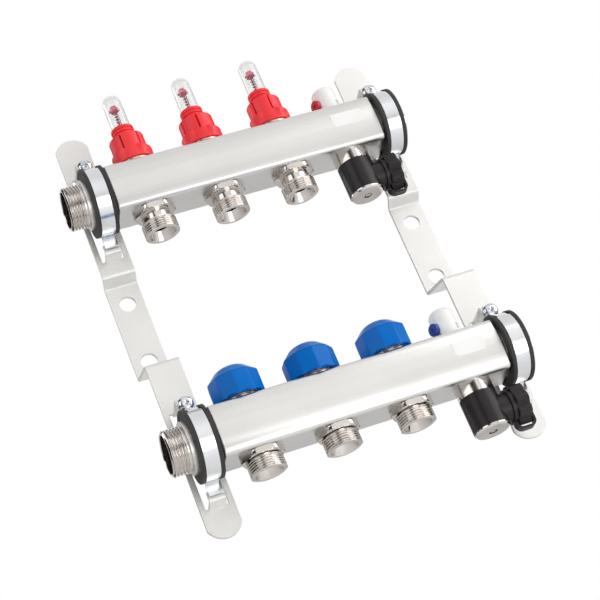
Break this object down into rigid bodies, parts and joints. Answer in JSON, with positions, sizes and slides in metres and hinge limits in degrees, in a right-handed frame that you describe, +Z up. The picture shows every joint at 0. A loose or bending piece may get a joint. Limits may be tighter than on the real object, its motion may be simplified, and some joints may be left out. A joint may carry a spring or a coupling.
{
  "type": "underfloor heating manifold",
  "caption": "Stainless steel heating manifold: supply bar with flow meters and return bar with valve caps, clamped on two stepped wall brackets, with vents and drain valves.",
  "frame": {"origin": "centre of the four wall-fixing holes, on the wall plane at the back of the brackets", "axes": "+X along the bars, to the right seen from the room; +Y into the wall; +Z up"},
  "size_m": [0.2675, 0.0955, 0.3635],
  "materials": {
    "stainless_steel": "brushed along the bar",
    "zinc_plated_steel": "bright zinc",
    "black_rubber": "matt",
    "nickel_plated_brass": "satin to polished",
    "brass": "machined",
    "red_plastic": "satin",
    "clear_plastic": "clear",
    "spring_steel": "plain",
    "blue_plastic": "glossy",
    "white_plastic": "satin",
    "black_plastic": "satin"
  },
  "bodies": {
    "manifold": {"supply_bar": "stainless_steel", "return_bar": "stainless_steel", "supply_nipple": "stainless_steel", "return_nipple": "stainless_steel", "left_bracket": "zinc_plated_steel", "right_bracket": "zinc_plated_steel", "clamp_screws": "zinc_plated_steel", "supply_left_band": "zinc_plated_steel", "supply_right_band": "zinc_plated_steel", "return_left_band": "zinc_plated_steel", "return_right_band": "zinc_plated_steel", "supply_left_rubber": "black_rubber", "supply_right_rubber": "black_rubber", "return_left_rubber": "black_rubber", "return_right_rubber": "black_rubber", "end_plugs": "nickel_plated_brass", "supply_outlet_1": "nickel_plated_brass", "supply_outlet_2": "nickel_plated_brass", "supply_outlet_3": "nickel_plated_brass", "return_outlet_1": "nickel_plated_brass", "return_outlet_2": "nickel_plated_brass", "return_outlet_3": "nickel_plated_brass", "supply_vent_body": "nickel_plated_brass", "return_vent_body": "nickel_plated_brass", "supply_drain_connector": "nickel_plated_brass", "return_drain_connector": "nickel_plated_brass", "flow_meter_body_1": "brass", "flow_meter_body_2": "brass", "flow_meter_body_3": "brass", "valve_insert_1": "brass", "valve_insert_2": "brass", "valve_insert_3": "brass", "sight_glass_1": "clear_plastic", "sight_glass_2": "clear_plastic", "sight_glass_3": "clear_plastic", "indicator_spring_1": "spring_steel", "indicator_spring_2": "spring_steel", "indicator_spring_3": "spring_steel", "supply_drain_body": "black_plastic", "return_drain_body": "black_plastic", "drain_straps": "black_plastic"},
    "return_cap_1": {"blue_cap_1": "blue_plastic"},
    "return_pin_1": {"valve_pin_1": "spring_steel"},
    "return_cap_2": {"blue_cap_2": "blue_plastic"},
    "return_pin_2": {"valve_pin_2": "spring_steel"},
    "return_cap_3": {"blue_cap_3": "blue_plastic"},
    "return_pin_3": {"valve_pin_3": "spring_steel"},
    "flow_ring_1": {"flow_adjuster_1": "red_plastic"},
    "flow_disc_1": {"flow_indicator_1": "red_plastic"},
    "flow_ring_2": {"flow_adjuster_2": "red_plastic"},
    "flow_disc_2": {"flow_indicator_2": "red_plastic"},
    "flow_ring_3": {"flow_adjuster_3": "red_plastic"},
    "flow_disc_3": {"flow_indicator_3": "red_plastic"},
    "supply_vent": {"supply_vent_knob": "white_plastic"},
    "supply_drain_cover": {"supply_drain_cap": "black_plastic"},
    "supply_drain_key": {"supply_drain_spindle": "nickel_plated_brass"},
    "return_vent": {"return_vent_knob": "white_plastic"},
    "return_drain_cover": {"return_drain_cap": "black_plastic"},
    "return_drain_key": {"return_drain_spindle": "nickel_plated_brass"}
  },
  "joints": [
    {"name": "return_cap_1_turn", "type": "hinge", "parent": "manifold", "child": "return_cap_1", "pos_m": [-0.0785, -0.0695, -0.09425], "axis": [0, 0, 1], "range_deg": [-720, 0]},
    {"name": "return_pin_1_slide", "type": "slide", "parent": "manifold", "child": "return_pin_1", "axis": [0, 0, 1], "range_m": [-0.003, 0]},
    {"name": "return_cap_2_turn", "type": "hinge", "parent": "manifold", "child": "return_cap_2", "pos_m": [-0.0235, -0.0695, -0.09425], "axis": [0, 0, 1], "range_deg": [-720, 0]},
    {"name": "return_pin_2_slide", "type": "slide", "parent": "manifold", "child": "return_pin_2", "axis": [0, 0, 1], "range_m": [-0.003, 0]},
    {"name": "return_cap_3_turn", "type": "hinge", "parent": "manifold", "child": "return_cap_3", "pos_m": [0.0315, -0.0695, -0.09425], "axis": [0, 0, 1], "range_deg": [-720, 0]},
    {"name": "return_pin_3_slide", "type": "slide", "parent": "manifold", "child": "return_pin_3", "axis": [0, 0, 1], "range_m": [-0.003, 0]},
    {"name": "flow_ring_1_turn", "type": "hinge", "parent": "manifold", "child": "flow_ring_1", "pos_m": [-0.0785, -0.0375, 0.12375], "axis": [0, 0, 1], "range_deg": [-540, 540]},
    {"name": "flow_disc_1_slide", "type": "slide", "parent": "manifold", "child": "flow_disc_1", "axis": [0, 0, 1], "range_m": [-0.014, 0], "stiffness_N_per_m": 20, "springref_m": 0.002, "deforming": ["indicator_spring_1"]},
    {"name": "flow_ring_2_turn", "type": "hinge", "parent": "manifold", "child": "flow_ring_2", "pos_m": [-0.0235, -0.0375, 0.12375], "axis": [0, 0, 1], "range_deg": [-540, 540]},
    {"name": "flow_disc_2_slide", "type": "slide", "parent": "manifold", "child": "flow_disc_2", "axis": [0, 0, 1], "range_m": [-0.014, 0], "stiffness_N_per_m": 20, "springref_m": 0.002, "deforming": ["indicator_spring_2"]},
    {"name": "flow_ring_3_turn", "type": "hinge", "parent": "manifold", "child": "flow_ring_3", "pos_m": [0.0315, -0.0375, 0.12375], "axis": [0, 0, 1], "range_deg": [-540, 540]},
    {"name": "flow_disc_3_slide", "type": "slide", "parent": "manifold", "child": "flow_disc_3", "axis": [0, 0, 1], "range_m": [-0.014, 0], "stiffness_N_per_m": 20, "springref_m": 0.002, "deforming": ["indicator_spring_3"]},
    {"name": "supply_vent_turn", "type": "hinge", "parent": "manifold", "child": "supply_vent", "pos_m": [0.079, -0.0375, 0.12375], "axis": [0, 0, 1], "range_deg": [0, 180]},
    {"name": "supply_drain_cap_turn", "type": "hinge", "parent": "manifold", "child": "supply_drain_cover", "pos_m": [0.103, -0.0375, 0.05265], "axis": [1, 0, 0], "range_deg": [0, 720]},
    {"name": "supply_drain_turn", "type": "hinge", "parent": "manifold", "child": "supply_drain_key", "pos_m": [0.079, -0.0375, 0.04525], "axis": [0, 0, 1], "range_deg": [0, 90]},
    {"name": "return_vent_turn", "type": "hinge", "parent": "manifold", "child": "return_vent", "pos_m": [0.079, -0.0695, -0.09425], "axis": [0, 0, 1], "range_deg": [0, 180]},
    {"name": "return_drain_cap_turn", "type": "hinge", "parent": "manifold", "child": "return_drain_cover", "pos_m": [0.103, -0.0695, -0.16535], "axis": [1, 0, 0], "range_deg": [0, 720]},
    {"name": "return_drain_turn", "type": "hinge", "parent": "manifold", "child": "return_drain_key", "pos_m": [0.079, -0.0695, -0.17275], "axis": [0, 0, 1], "range_deg": [0, 90]}
  ],
  "couplings": [
    {"joint": "return_pin_1_slide", "follows": "return_cap_1_turn", "m_per_rad": 0.000238},
    {"joint": "return_pin_2_slide", "follows": "return_cap_2_turn", "m_per_rad": 0.000238},
    {"joint": "return_pin_3_slide", "follows": "return_cap_3_turn", "m_per_rad": 0.000238}
  ]
}
